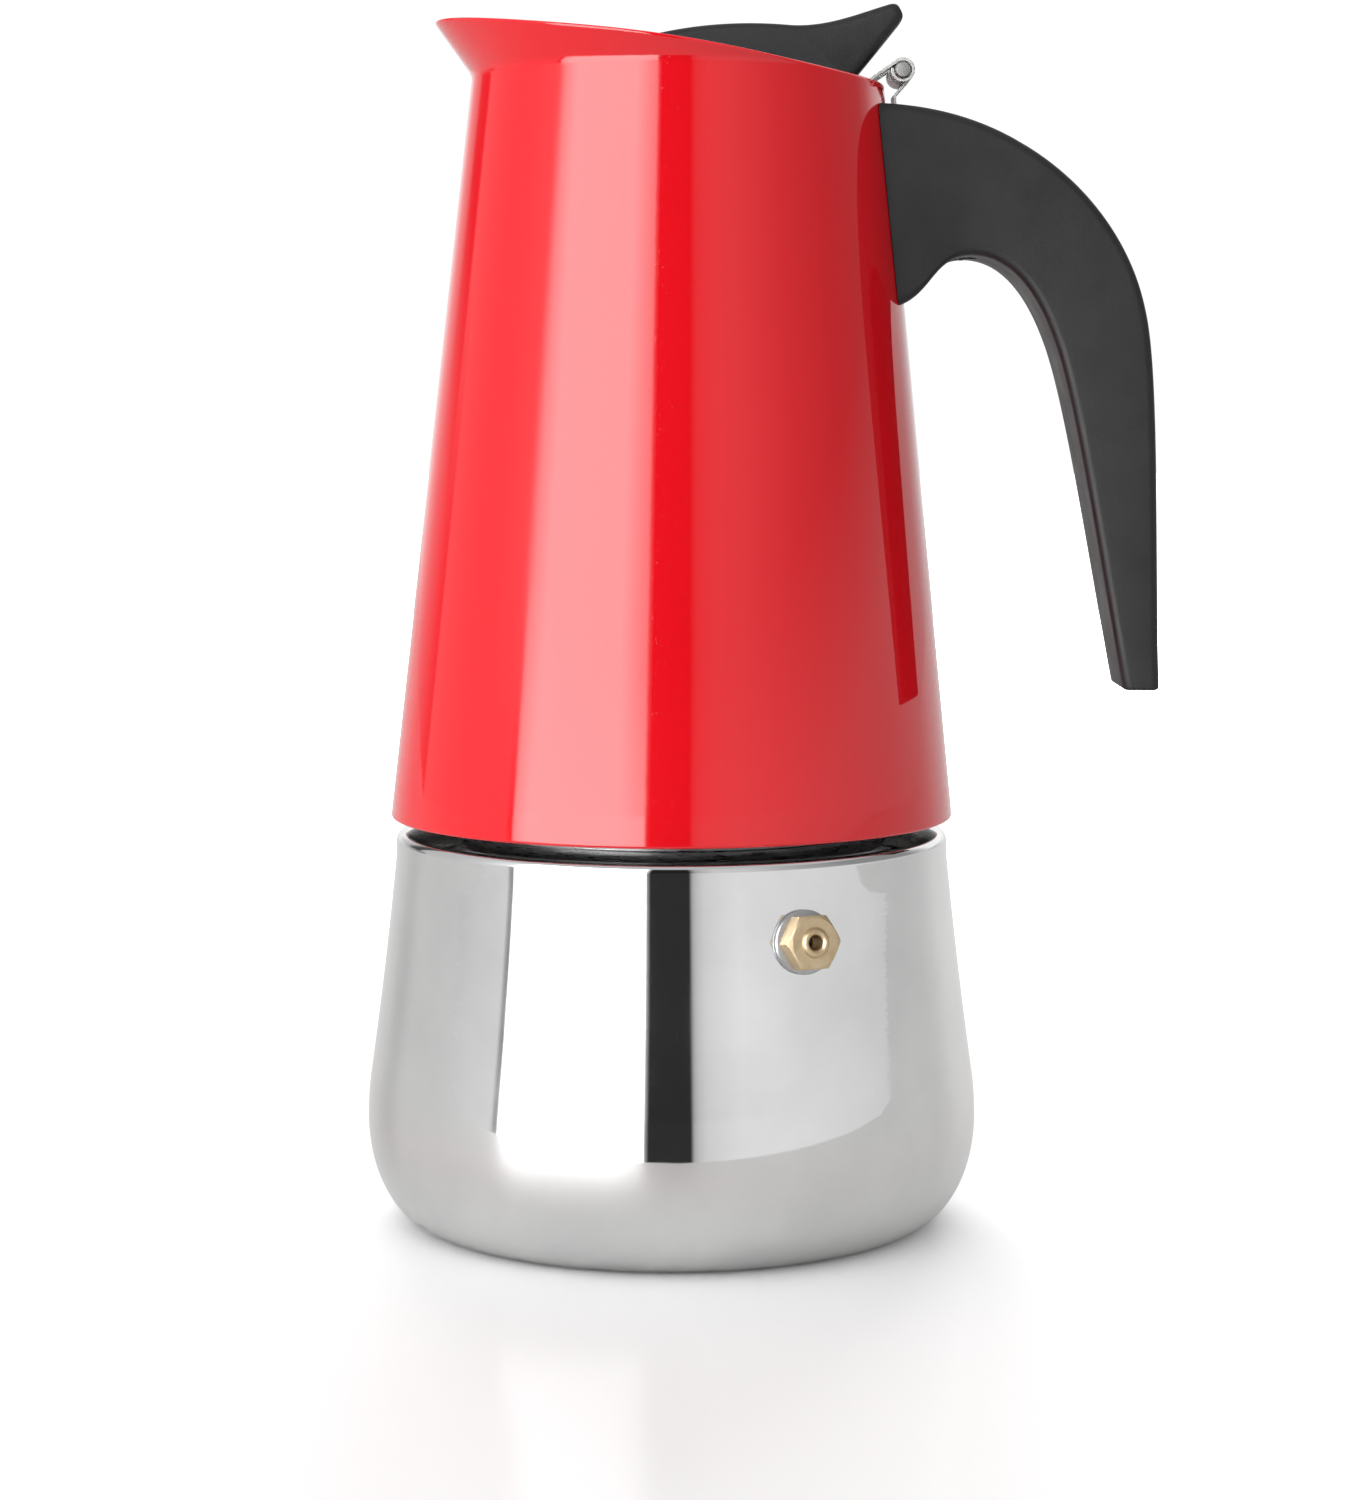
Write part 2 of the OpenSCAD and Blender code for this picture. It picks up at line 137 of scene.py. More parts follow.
def node(t, kind, inputs=None, **props):
    n = t.nodes.new(kind)
    for k, v in props.items():
        setattr(n, k, v)
    for k, v in (inputs or {}).items():
        if isinstance(v, bpy.types.NodeSocket):
            t.links.new(v, n.inputs[k])
        else:
            n.inputs[k].default_value = v
    return n


def coords(t):
    return node(t, "ShaderNodeTexCoord").outputs["Object"]


def noise(t, vec, scale, detail=3.0, rough=0.5):
    inputs = {"Vector": vec, "Scale": scale, "Detail": detail, "Roughness": rough, "Distortion": 0.0}
    return node(t, "ShaderNodeTexNoise", inputs).outputs["Fac"]


def span(t, value, lo, hi, a=0.0, b=1.0):
    """value, as it goes from a to b, mapped to lo to hi."""
    inputs = {"Value": value, "From Min": a, "From Max": b, "To Min": lo, "To Max": hi}
    return node(t, "ShaderNodeMapRange", inputs).outputs[0]


def mix(t, fac, c0, c1):
    n = node(t, "ShaderNodeMix", data_type="RGBA")
    for sock, v in ((n.inputs[0], fac), (n.inputs[6], c0), (n.inputs[7], c1)):
        if isinstance(v, bpy.types.NodeSocket):
            t.links.new(v, sock)
        elif sock.type == "RGBA":
            sock.default_value = (*v, 1)
        else:
            sock.default_value = v
    return n.outputs[2]


def bump(t, height, dist, strength=1.0, normal=None):
    n = node(t, "ShaderNodeBump", {"Height": height, "Distance": dist, "Strength": strength})
    if normal is not None:
        t.links.new(normal, n.inputs["Normal"])
    return n.outputs[0]


def round_coords(t, squeeze):
    """Radius and height at full scale and the angle squeezed, so that noise makes rings round the pot's axis."""
    tc = node(t, "ShaderNodeTexCoord")
    s = node(t, "ShaderNodeSeparateXYZ", {"Vector": tc.outputs["Object"]})
    x, y, z = s.outputs
    flat = node(t, "ShaderNodeCombineXYZ", {"X": x, "Y": y})
    r = node(t, "ShaderNodeVectorMath", {0: flat.outputs[0]}, operation="LENGTH").outputs["Value"]
    ang = node(t, "ShaderNodeMath", {0: y, 1: x}, operation="ARCTAN2").outputs[0]
    ang = node(t, "ShaderNodeMath", {0: ang, 1: squeeze}, operation="MULTIPLY").outputs[0]
    return node(t, "ShaderNodeCombineXYZ", {"X": r, "Y": ang, "Z": z}).outputs[0]


def make_polished():
    m, t, p = nodes_of("polished_steel")
    v = coords(t)
    smear = noise(t, v, 38, 4, 0.6)
    rings = noise(t, round_coords(t, 0.004), 900, 2, 0.6)
    tone = mix(t, span(t, smear, 0, 1, 0.35, 0.65), (0.72, 0.72, 0.725), (0.80, 0.80, 0.80))
    t.links.new(tone, p.inputs["Base Color"])
    t.links.new(span(t, smear, 0.025, 0.06, 0.4, 0.7), p.inputs["Roughness"])
    p.inputs["Metallic"].default_value = 1
    wave = bump(t, noise(t, v, 22, 1, 0.4), 0.00006)
    t.links.new(bump(t, rings, 0.0000015, 1, wave), p.inputs["Normal"])
    return m


def make_sheet(name, dark, light, rough, scale, lift):
    """Plain steel with soft blotches and a fine grain; rough is the range of its roughness."""
    m, t, p = nodes_of(name)
    v = coords(t)
    t.links.new(mix(t, noise(t, v, scale, 3), dark, light), p.inputs["Base Color"])
    t.links.new(span(t, noise(t, v, scale * 2.3, 3, 0.6), *rough, 0.35, 0.65), p.inputs["Roughness"])
    p.inputs["Metallic"].default_value = 1
    t.links.new(bump(t, noise(t, v, scale * 6, 2), lift), p.inputs["Normal"])
    return m


def make_satin():
    m, t, p = nodes_of("satin_steel")
    rings = noise(t, round_coords(t, 0.006), 1400, 3, 0.7)
    blot = noise(t, coords(t), 60, 3)
    t.links.new(mix(t, blot, (0.50, 0.50, 0.50), (0.66, 0.655, 0.65)), p.inputs["Base Color"])
    t.links.new(span(t, rings, 0.2, 0.42, 0.3, 0.7), p.inputs["Roughness"])
    p.inputs["Metallic"].default_value = 1
    t.links.new(bump(t, rings, 0.000012), p.inputs["Normal"])
    return m


def make_red():
    m, t, p = nodes_of("red_enamel")
    v = coords(t)
    cloud = noise(t, v, 25, 2)
    fleck = noise(t, v, 2600, 2, 0.6)
    t.links.new(mix(t, cloud, (0.70, 0.0045, 0.011), (0.74, 0.006, 0.013)), p.inputs["Base Color"])
    t.links.new(span(t, noise(t, v, 70, 4, 0.6), 0.015, 0.045, 0.35, 0.7), p.inputs["Roughness"])
    peel = bump(t, noise(t, v, 330, 2, 0.5), 0.0000035)
    t.links.new(bump(t, span(t, fleck, 0, 1, 0.68, 0.8), 0.000008, 1, peel), p.inputs["Normal"])
    p.inputs["IOR"].default_value = 1.52
    p.inputs["Coat Weight"].default_value = 0.15
    p.inputs["Coat Roughness"].default_value = 0.02
    return m


def make_nylon():
    m, t, p = nodes_of("black_nylon")
    v = coords(t)
    grain = noise(t, v, 2400, 3, 0.65)
    worn = noise(t, v, 90, 4, 0.6)
    tone = mix(t, span(t, worn, 0, 1, 0.35, 0.7), (0.0075, 0.0075, 0.008), (0.0125, 0.0125, 0.0135))
    t.links.new(tone, p.inputs["Base Color"])
    t.links.new(span(t, worn, 0.42, 0.58, 0.3, 0.7), p.inputs["Roughness"])
    t.links.new(bump(t, grain, 0.00005, 0.6), p.inputs["Normal"])
    p.inputs["IOR"].default_value = 1.42
    return m


def make_brass():
    m, t, p = nodes_of("brass")
    rings = noise(t, round_coords(t, 0.0008), 5200, 2, 0.6)
    tarn = noise(t, coords(t), 420, 4, 0.6)
    tone = mix(t, span(t, tarn, 0, 1, 0.35, 0.7), (0.70, 0.56, 0.37), (0.56, 0.43, 0.26))
    t.links.new(tone, p.inputs["Base Color"])
    t.links.new(span(t, rings, 0.34, 0.5, 0.3, 0.7), p.inputs["Roughness"])
    p.inputs["Metallic"].default_value = 1
    t.links.new(bump(t, rings, 0.000008), p.inputs["Normal"])
    return m


def make_silicone():
    m, t, p = nodes_of("silicone")
    v = coords(t)
    t.links.new(mix(t, noise(t, v, 120, 3), (0.74, 0.72, 0.68), (0.84, 0.83, 0.80)), p.inputs["Base Color"])
    t.links.new(span(t, noise(t, v, 300, 3), 0.45, 0.62), p.inputs["Roughness"])
    t.links.new(bump(t, noise(t, v, 1800, 2), 0.00002, 0.6), p.inputs["Normal"])
    p.inputs["Subsurface Weight"].default_value = 0.15
    p.inputs["Subsurface Scale"].default_value = 0.002
    return m


SHEET = {  # darker and lighter colour, range of roughness, scale of the blotches, height of the grain
    "bright_steel": ((0.44, 0.44, 0.435), (0.52, 0.52, 0.515), (0.36, 0.46), 300, 0.000002),
    "washer_steel": ((0.40, 0.40, 0.41), (0.52, 0.52, 0.53), (0.3, 0.42), 500, 0.000004),
    "cut_steel": ((0.2, 0.2, 0.195), (0.28, 0.28, 0.275), (0.42, 0.55), 900, 0.000008),
}
MATS = {
    "polished_steel": make_polished(),
    "satin_steel": make_satin(),
    **{name: make_sheet(name, *look) for name, look in SHEET.items()},
    "red_enamel": make_red(),
    "black_nylon": make_nylon(),
    "brass": make_brass(),
    "silicone": make_silicone(),
}

# ---------------------------------------------------------------- meshes
def add_object(name, data):
    o = bpy.data.objects.new(name, data)
    bpy.context.scene.collection.objects.link(o)
    return o


def smooth(me, angle):
    me.shade_smooth()
    me.set_sharp_from_angle(angle=math.radians(angle))


def piece(name, verts, faces, body, slot, nodes=(), matrix=None, sharp=35, extra=None, face_mats=None, bevel=0):
    me = bpy.data.meshes.new(name)
    me.from_pydata([Vector(v) * MM for v in verts], [], faces)
    me.update()
    me.materials.append(MATS[slot])
    for s in extra or ():
        me.materials.append(MATS[s])
    if face_mats:
        me.polygons.foreach_set("material_index", face_mats)
    smooth(me, sharp)
    o = add_object(name, me)
    if matrix is not None:
        o.matrix_world = matrix
    if bevel:
        b = o.modifiers.new("edge", "BEVEL")
        b.width, b.segments, b.limit_method, b.angle_limit = bevel * MM, 2, "ANGLE", math.radians(40)
        b.harden_normals = True
    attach(o, body)
    if nodes:
        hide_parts(*nodes)
    return o


def around(r, z, n):
    """Ring of n points at radius r and height z."""
    return [(r * math.cos(TAU * i / n), r * math.sin(TAU * i / n), z) for i in range(n)]


def skin(rings, loop=False):
    """Faces over a list of rings, each a closed loop of points; loop joins the last ring to the first."""
    n, m = len(rings[0]), len(rings)
    verts = [tuple(p) for r in rings for p in r]
    faces = []
    for j in range(m if loop else m - 1):
        k = (j + 1) % m
        for i in range(n):
            i1 = (i + 1) % n
            faces.append((j * n + i, j * n + i1, k * n + i1, k * n + i))
    if not loop:
        faces.append(tuple(reversed(range(n))))
        faces.append(tuple((m - 1) * n + i for i in range(n)))
    return verts, faces


def arc(cx, cz, r, a0, a1, n=6):
    angles = [math.radians(a0 + (a1 - a0) * i / n) for i in range(n + 1)]
    return [(cx + r * math.cos(a), cz + r * math.sin(a)) for a in angles]


def lathe(profile, n):
    """Turns a closed profile of (radius, height), given anticlockwise, round the Z axis."""
    return skin([around(max(r, 1e-4), z, n) for r, z in profile], loop=True)


def extrude_y(outline, y0, y1):
    """Prism of an XZ outline between two Y values."""
    n = len(outline)
    verts = [(x, y0, z) for x, z in outline] + [(x, y1, z) for x, z in outline]
    faces = [(i, (i + 1) % n, n + (i + 1) % n, n + i) for i in range(n)]
    return verts, faces + [tuple(reversed(range(n))), tuple(range(n, 2 * n))]


# boiler
def build_boiler():
    out = [(0, 0)] + [(FOOT_R * f, 0) for f in (0.5, 0.9)]
    for b in [math.radians(3 * i) for i in range(31)]:
        out.append((FOOT_R + (BOILER_R - FOOT_R) * math.sin(b), BELLY_Z * (1 - math.cos(b))))
    zs = [BELLY_Z + i for i in range(1, int(WALL_TOP - BELLY_Z), 2)] + [WALL_TOP]
    out += [(boiler_out(z), z) for z in zs]
    r0 = boiler_out(WALL_TOP) - 0.1
    round_r = SHOULDER["round"]
    out += arc(r0 - round_r, SHOULDER["edge_z"] - round_r, round_r, 0, SHOULDER["turn"], 10)
    out += SHOULDER["in"]
    inner = [(r - BOILER_T, z) for r, z in reversed([(boiler_out(z), z) for z in zs])]
    for b in [math.radians(90 - 5 * i) for i in range(19)]:
        inner.append((FOOT_R + (BOILER_R - BOILER_T - FOOT_R) * math.sin(b), BELLY_Z - (BELLY_Z - BOILER_T) * math.cos(b)))
    out += [(NECK_R, SHOULDER_Z), (NECK_R, SHOULDER_Z - BOILER_T), (r0 - 4, SHOULDER_Z - 2.6)]
    out += [(r0 - 1.6, SHOULDER_Z - 4.2)] + inner + [(0, BOILER_T)]
    v, f = lathe(out, 192)
    piece("boiler", v, f, "boiler", "polished_steel", ["boiler_shell"], sharp=50)


SHOULDER = {"round": 1.8, "edge_z": 65.2, "turn": 76, "in": [(42.0, 65.55), (38.5, 66.1), (36.5, SHOULDER_Z)]}


def build_thread():
    n, rows = 144, 60
    base = NECK_R + 1.4
    heights = [SHOULDER_Z] + [68 + 7.0 * j / rows for j in range(rows + 1)]
    rings = []
    for z in heights:
        ring = []
        for i in range(n):
            a = TAU * i / n
            ph = ((z - THREAD_START) / PITCH - a / TAU) % 1.0
            fade = max(0, min(1, (z - 68) / 0.8, (75.0 - z) / 0.8))
            r = base + 0.6 * fade * max(0, min(1, 2.2 - abs(ph - 0.5) * 7))
            ring.append((r * math.cos(a), r * math.sin(a), z))
        rings.append(ring)
    rim = arc(base - 0.6, NECK_Z - 0.6, 0.6, 0, 90, 4) + arc(NECK_R + 0.4, NECK_Z - 0.4, 0.4, 90, 180, 4)
    rings += [around(r, z, n) for r, z in rim + [(NECK_R, SHOULDER_Z)]]
    v, f = skin(rings, loop=True)
    piece("neck_thread", v, f, "boiler", "satin_steel", ["neck_thread_ring"], sharp=45)


# valve, in its own frame: origin on the wall, +Z along the axis outwards
VALVE_TURN, VALVE_TILT, VALVE_Z, VALVE_AF, BALL_W = 26.0, 6.4, 52.4, 8.2, -6.75


def valve_matrix():
    rho = boiler_out(VALVE_Z)
    t = math.radians(VALVE_TURN)
    loc = Matrix.Translation(Vector((rho * math.sin(t), -rho * math.cos(t), VALVE_Z)) * MM)
    return loc @ Matrix.Rotation(t - math.pi / 2, 4, "Z") @ Matrix.Rotation(math.radians(90 - VALVE_TILT), 4, "Y")


def build_valve():
    m = valve_matrix()
    n = 144
    hexr = lambda a: VALVE_AF / 2 / math.cos(((a + TAU / 12) % (TAU / 6)) - TAU / 12)
    flat = VALVE_AF / 2
    rows = []  # (radius at an angle, height)
    for r, z in [(1.2, -9.0), (2.7, -9.0), (3.0, -8.7), (3.0, 1.0)]:
        rows.append((lambda a, r=r: r, z))
    for z in (1.0, 1.06, 1.16, 2.0, 3.0, 3.5, 3.58, 3.66, 3.74, 3.82, 3.9, 3.96):
        cap = 3.85 + (4.0 - z) * 1.95
        low = flat + 0.35 + (z - 1.0) * 2.6
        rows.append((lambda a, c=min(cap, low): min(hexr(a), c), z))
    ring = [(3.85, 4.0), (3.72, 4.0)]
    for k in range(7):
        ring += [(3.6 - 0.16 * k, 3.985), (3.52 - 0.16 * k, 4.0)]
    ring += [(2.46, 3.99), (2.38, 3.93), (2.3, 3.95), (2.22, 4.12), (2.14, 4.34), (2.04, 4.47)]
    ring += [(1.9, 4.56), (1.74, 4.6), (1.56, 4.57), (1.36, 4.42), (1.22, 4.22), (1.2, 4.0)]
    ring += [(1.2, 1.0), (1.9, 0.98), (1.9, -8.0), (1.2, -8.0)]
    for r, z in ring:
        rows.append((lambda a, r=r: r, z))
    turn = [TAU * i / n for i in range(n)]
    rings = [[(f(a) * math.cos(a), f(a) * math.sin(a), z) for a in turn] for f, z in rows]
    v, f = skin(rings, loop=True)
    piece("valve_nozzle", v, f, "boiler", "brass", ["valve_body"], m, sharp=24)
    edge = [(4.8, 0.03), (5.0, 0.15), (5.03, 0.35), (5.03, 0.75), (4.95, 0.93), (4.8, 1.0)]
    v, f = lathe([(3.15, 0.03)] + edge + [(3.15, 1.0)], 96)
    piece("valve_seal_washer", v, f, "boiler", "washer_steel", ["valve_washer"], m, sharp=40)


def build_spring():
    """The relief valve's spring: its inner end is placed at the ball, its outer end in the chamber."""
    m, wire, coil, turns, sides = valve_matrix(), 0.24, 1.3, 5, 12
    inner, outer = BALL_W + 1.41, 0.69
    steps = turns * 32
    rings = []
    for k in range(steps + 1):
        f = k / steps
        a, z = TAU * turns * f, inner + (outer - inner) * f
        ring = []
        for i in range(sides):
            b = -TAU * i / sides
            r = coil + wire * math.cos(b)
            ring.append((r * math.cos(a), r * math.sin(a), z + wire * math.sin(b)))
        rings.append(ring)
    v, f = skin(rings)
    me = bpy.data.meshes.new("relief_spring")
    me.from_pydata([m @ (Vector(q) * MM) for q in v], [], f)
    me.materials.append(MATS["satin_steel"])
    me.shade_smooth()
    o = add_object("relief_spring", me)
    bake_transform(o)
    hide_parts("valve_spring")


# funnel, seal, collar, floor, column: turned pieces with eased edges
def build_turned():
    bt, bl, tr, br = 0.7, 50.0, 5.5, 31.3
    prof = arc(33.0, NECK_Z + 0.4, 0.4, -90, 90, 6) + [(br - bt + 0.6, NECK_Z + 0.8)]
    prof += arc(br - bt + 0.6, NECK_Z + 0.2, 0.6, 90, 180, 4)
    prof += [(br - bt, 65), (br - bt, bl + 2), (br - bt - 0.35, bl + 0.2), (tr + 0.6, 37), (tr + 0.05, 36.6)]
    prof += [(tr + 0.05, 33), (tr + bt, 33), (tr + bt, 36.2), (br - 0.4, bl - 0.4), (br, bl + 1), (br, 65), (br, NECK_Z)]
    v, f = lathe(prof, 144)
    piece("funnel", v, f, "funnel", "satin_steel", ["funnel_basket"])
    v, f = lathe([(tr - bt, 6.6), (tr - bt / 2, 6.5), (tr, 6.6), (tr, 37.5), (tr - bt, 37.5)], 72)
    piece("funnel_stem", v, f, "funnel", "satin_steel", ["funnel_tube"])
    g0 = NECK_Z + 0.8
    prof = [(27.3, g0)] + arc(32.8, g0 + 0.5, 0.5, -90, 0, 5) + arc(32.8, FLOOR_Z - 0.5, 0.5, 0, 90, 5)
    v, f = lathe(prof + [(27.3, FLOOR_Z), (27.0, FLOOR_Z - 0.3), (27.0, g0 + 0.3)], 144)
    piece("seal_ring", v, f, "seal", "silicone", ["gasket"])
    b = NECK_R + 2.3
    n, rows = 144, 44
    rings = [around(b + 2, z, n) for z in (68.0, FLOOR_Z)]
    for j in range(rows + 1):
        z = FLOOR_Z - 11.8 * j / rows
        ring = []
        for i in range(n):
            a = TAU * i / n
            ph = ((z - THREAD_START) / PITCH - a / TAU) % 1.0
            fade = max(0, min(1, (z - 68) / 0.8, (77 - z) / 0.8))
            r = b + 0.5 * fade * max(0, min(1, 2.2 - abs(ph - 0.5) * 7))
            ring.append((r * math.cos(a), r * math.sin(a), z))
        rings.append(ring)
    v, f = skin(rings, loop=True)
    piece("collar", v, f, "riser", "satin_steel", ["thread_collar"], sharp=45)
    e = jug_cone(FLOOR_Z + 5) - JUG_T - 0.2
    z0 = FLOOR_Z
    prof = [(7.2, z0), (e - 2.5, z0)] + arc(e - 2.4, z0 + 2.4, 2.4, -90, 0, 8)
    prof += [(e, z0 + 4.8), (e - 0.4, z0 + 5), (e - 0.8, z0 + 4.8)] + arc(e - 2.4, z0 + 2.6, 1.6, 0, -90, 8)
    v, f = lathe(prof + [(7.2, z0 + 1)], 144)
    piece("floor_dish", v, f, "riser", "satin_steel", ["jug_floor"])
    z1 = FLOOR_Z + 1
    prof = [(8, z1), (12, z1), (12, z1 + 0.5), (11.7, z1 + 0.8), (10.2, z1 + 1), (9.4, z1 + 1.8), (9, z1 + 3)]
    prof += [(6.8, COLUMN_Z), (6.4, COLUMN_Z), (6.0, COLUMN_Z), (8.2, z1 + 3), (8, z1 + 1.2)]
    v, f = lathe(prof, 96)
    piece("column", v, f, "riser", "satin_steel", ["column_tube"])


# jug
def jug_point(a, z, off):
    r, t = jug_rad(a, z) - off, math.radians(a)
    return (jug_cx(z) - r * math.cos(t), -r * math.sin(t), z)


def build_jug():
    n, h = 288, JUG_T / 2
    rows = []  # (function of angle giving height, offset inwards), upwards outside and down inside
    top = lambda f: (lambda a: 184.6 + (rim_z(a) - h - 184.6) * f)
    body = [JUG_Z + h] + [JUG_Z + h + (184.6 - JUG_Z - h) * i / 24 for i in range(1, 25)]
    fr = [i / 30 for i in range(1, 31)]
    rows += [(lambda a, z=z: z, 0.0) for z in body] + [(top(f), 0.0) for f in fr]
    for k in range(1, 8):
        p = math.pi * k / 8
        rows.append((lambda a, p=p: rim_z(a) - h + h * math.sin(p), h - h * math.cos(p)))
    edge = len(rows)
    rows += [(top(f), JUG_T) for f in reversed(fr)] + [(lambda a, z=z: z, JUG_T) for z in reversed(body)]
    inner_end = len(rows)
    for k in range(1, 8):
        p = math.pi * k / 8
        rows.append((lambda a, p=p: JUG_Z + h - h * math.sin(p), h + h * math.cos(p)))
    rings = [[jug_point(360 * i / n, fz(360 * i / n), off) for i in range(n)] for fz, off in rows]
    v, f = skin(rings, loop=True)
    f = [tuple(reversed(q)) for q in f]
    mats = [1 if edge - 5 <= k // n < inner_end + 2 else 0 for k in range(len(f))]
    piece("jug", v, f, "upper", "red_enamel", ["jug_shell"], sharp=60, extra=["satin_steel"], face_mats=mats)


# handle and knob: lofted sections between an upper and a lower curve in the XZ plane
HANDLE_OUT = [
    [(30, 183), (41, 183.2), (49.5, 180.6), (56, 176.8)],
    [(56, 176.8), (66, 171.2), (74, 161.5), (76.5, 150)],
    [(76.5, 150), (79, 140), (78.6, 110), (79.6, 88.6)],
]
HANDLE_IN = [
    [(31, 150.2), (42.5, 149.3), (40.5, 158.8), (48.3, 158.8)],
    [(48.3, 158.8), (54.5, 158.8), (58.8, 153.2), (61.7, 145.4)],
    [(61.7, 145.4), (65.2, 136.5), (69, 113), (73.7, 88.6)],
]
KNOB_TOP = [
    [(-9, 192.6), (-2, 195.2), (8, 196.9), (19, 195.95)],
    [(19, 195.95), (25.5, 195.5), (31, 198.2), (36.3, 199.6)],
]
KNOB_LOW = [
    [(-9, 191.9), (4, 190.3), (17, 188.7), (29.2, 186.9)],
    [(29.2, 186.9), (32, 190.3), (34.8, 193.7), (37.6, 197.2)],
]


def section(p, q, w, r, n=8):
    """Ring round the rectangle from q to p (in the XZ plane) by w (in Y), with corners of radius r."""
    c, half = (p + q) / 2, (p - q) / 2
    length = half.length
    d = half / length
    r = min(r, length * 0.98, w / 2 * 0.98)
    ring = []
    for k, (su, sv) in enumerate(((1, 1), (-1, 1), (-1, -1), (1, -1))):
        a0 = (0, 90, 180, 270)[k]
        for i in range(n + 1):
            a = math.radians(a0 + 90 * i / n)
            u = su * (length - r) + r * math.cos(a)
            y = sv * (w / 2 - r) + r * math.sin(a)
            ring.append((c.x + d.x * u, y, c.y + d.y * u))
    return ring


def eased_loft(top, low, t0, steps, width, r, ease):
    """Rings from t = 0 to t0, then a rounded end of radius ease that reaches the curves' last section."""
    ts = [t0 * i / steps for i in range(steps + 1)]
    rings = [section(curve_at(top, t), curve_at(low, t), width(t), r) for t in ts]
    end = len(top)
    p, q = curve_at(top, t0), curve_at(low, t0)
    pe, qe = curve_at(top, end), curve_at(low, end)
    for k in range(1, 9):
        a = math.radians(90 * k / 8)
        f, pull = math.sin(a), ease * (1 - math.cos(a))
        pp, qq = p + (pe - p) * f, q + (qe - q) * f
        d = (pp - qq).normalized() * pull
        rings.append(section(pp - d, qq + d, width(end) - 2 * pull, max(0.3, r - pull)))
    return rings


def build_handle():
    rings = eased_loft(HANDLE_OUT, HANDLE_IN, 2.99, 180, lambda t: HANDLE_W - HANDLE_TAPER * t, 1.5, 0.6)
    v, f = skin(rings)
    cut_against_jug(piece("grip", v, f, "upper", "black_nylon", ["handle"], sharp=40), 0.12)


def cutter(name, v, f):
    me = bpy.data.meshes.new(name)
    me.from_pydata([Vector(p) * MM for p in v], [], f)
    return add_object(name, me)


def apply_cuts(o, tools):
    for c in tools:
        b = o.modifiers.new("cut", "BOOLEAN")
        b.object, b.operation, b.solver = c, "DIFFERENCE", "EXACT"
    bpy.context.view_layer.update()
    dg = bpy.context.evaluated_depsgraph_get()
    me = bpy.data.meshes.new_from_object(o.evaluated_get(dg))
    o.modifiers.clear()
    o.data = me
    for c in tools:
        bpy.data.objects.remove(c)


def cut_against_jug(o, gap):
    n = 256
    rings = []
    for z in (JUG_Z, FLARE_Z):
        rings.append([(jug_cx(z) + x, y, z) for x, y, z in around(jug_cone(z) + gap, z, n)])
    tools = [cutter("cut_cone", *skin(rings))]
    box = extrude_y([(30, 158), (38.2, 158), (38.2, 188), (30, 188)], -3.6, 3.6)
    tools.append(cutter("cut_slot", *box))
    tools.append(cutter("cut_plate", *extrude_y([(30, 159.6), (39.2, 159.6), (39.2, 174.6), (30, 174.6)], -6.2, 6.2)))
    tools.append(cutter("cut_tab", *extrude_y([(30, 166.4), (50.5, 166.4), (50.5, 169.4), (30, 169.4)], -5.4, 5.4)))
    v, f = lathe([(0, 145), (3.9, 145), (3.9, 161.8), (2.2, 161.8), (2.2, 167), (0, 167)], 48)
    tools.append(cutter("cut_screw", [(x + 46, y, z) for x, y, z in v], f))
    apply_cuts(o, tools)
    smooth(o.data, 40)


def build_knob():
    rings = eased_loft(KNOB_TOP, KNOB_LOW, 1.93, 90, lambda t: KNOB_W - KNOB_TAPER * t, 1.6, 0.7)
    v, f = skin(rings)
    o = piece("knob", v, f, "lid", "black_nylon", ["lid_knob"], sharp=40)
    a = math.radians(8.5)
    c = [(20.4, 185.0), (20.4 + 12 * math.cos(a), 185 - 12 * math.sin(a))]
    up = (4.1 * math.sin(a), 4.1 * math.cos(a))
    box = extrude_y([c[0], c[1], (c[1][0] + up[0], c[1][1] + up[1]), (c[0][0] + up[0], c[0][1] + up[1])], -8, 8)
    under = [(x, lid_top(x) + 0.04) for x in range(-12, 31, 2)] + [(30, 180), (-12, 180)]
    apply_cuts(o, [cutter("cut_leaf", *box), cutter("cut_lid", *extrude_y(under, -8, 8))])
    smooth(o.data, 40)


def build_lid():
    n = 192
    fr = [1 - i / 16 for i in range(16)] + [0.02]
    t = LID_T
    rings = [[lid_at(-360 * i / n, f, -t) for i in range(n)] for f in reversed(fr)]
    for k in range(1, 6):
        p = math.pi * k / 6
        ring = []
        for a in [-360 * i / n for i in range(n)]:
            e = lid_edge(a)
            out = (e - Vector((1, 0, e.z))).normalized()
            ring.append(lid_at(a, 1, -t / 2 - t / 2 * math.cos(p)) + out * 0.25 * math.sin(p))
        rings.append(ring)
    rings += [[lid_at(-360 * i / n, f, 0) for i in range(n)] for f in fr]
    v, f = skin(rings)
    piece("lid_disc", v, [tuple(reversed(q)) for q in f], "lid", "polished_steel", ["lid_plate"], sharp=50)


def offset_strip(path, t):
    """Outline of a strip of thickness t whose left side follows the path."""
    out, back = [], []
    for i, p in enumerate(path):
        a = path[max(0, i - 1)]
        b = path[min(len(path) - 1, i + 1)]
        d = Vector((b[0] - a[0], b[1] - a[1])).normalized()
        out.append((p[0], p[1]))
        back.append((p[0] + d.y * t, p[1] - d.x * t))
    return out + back[::-1]


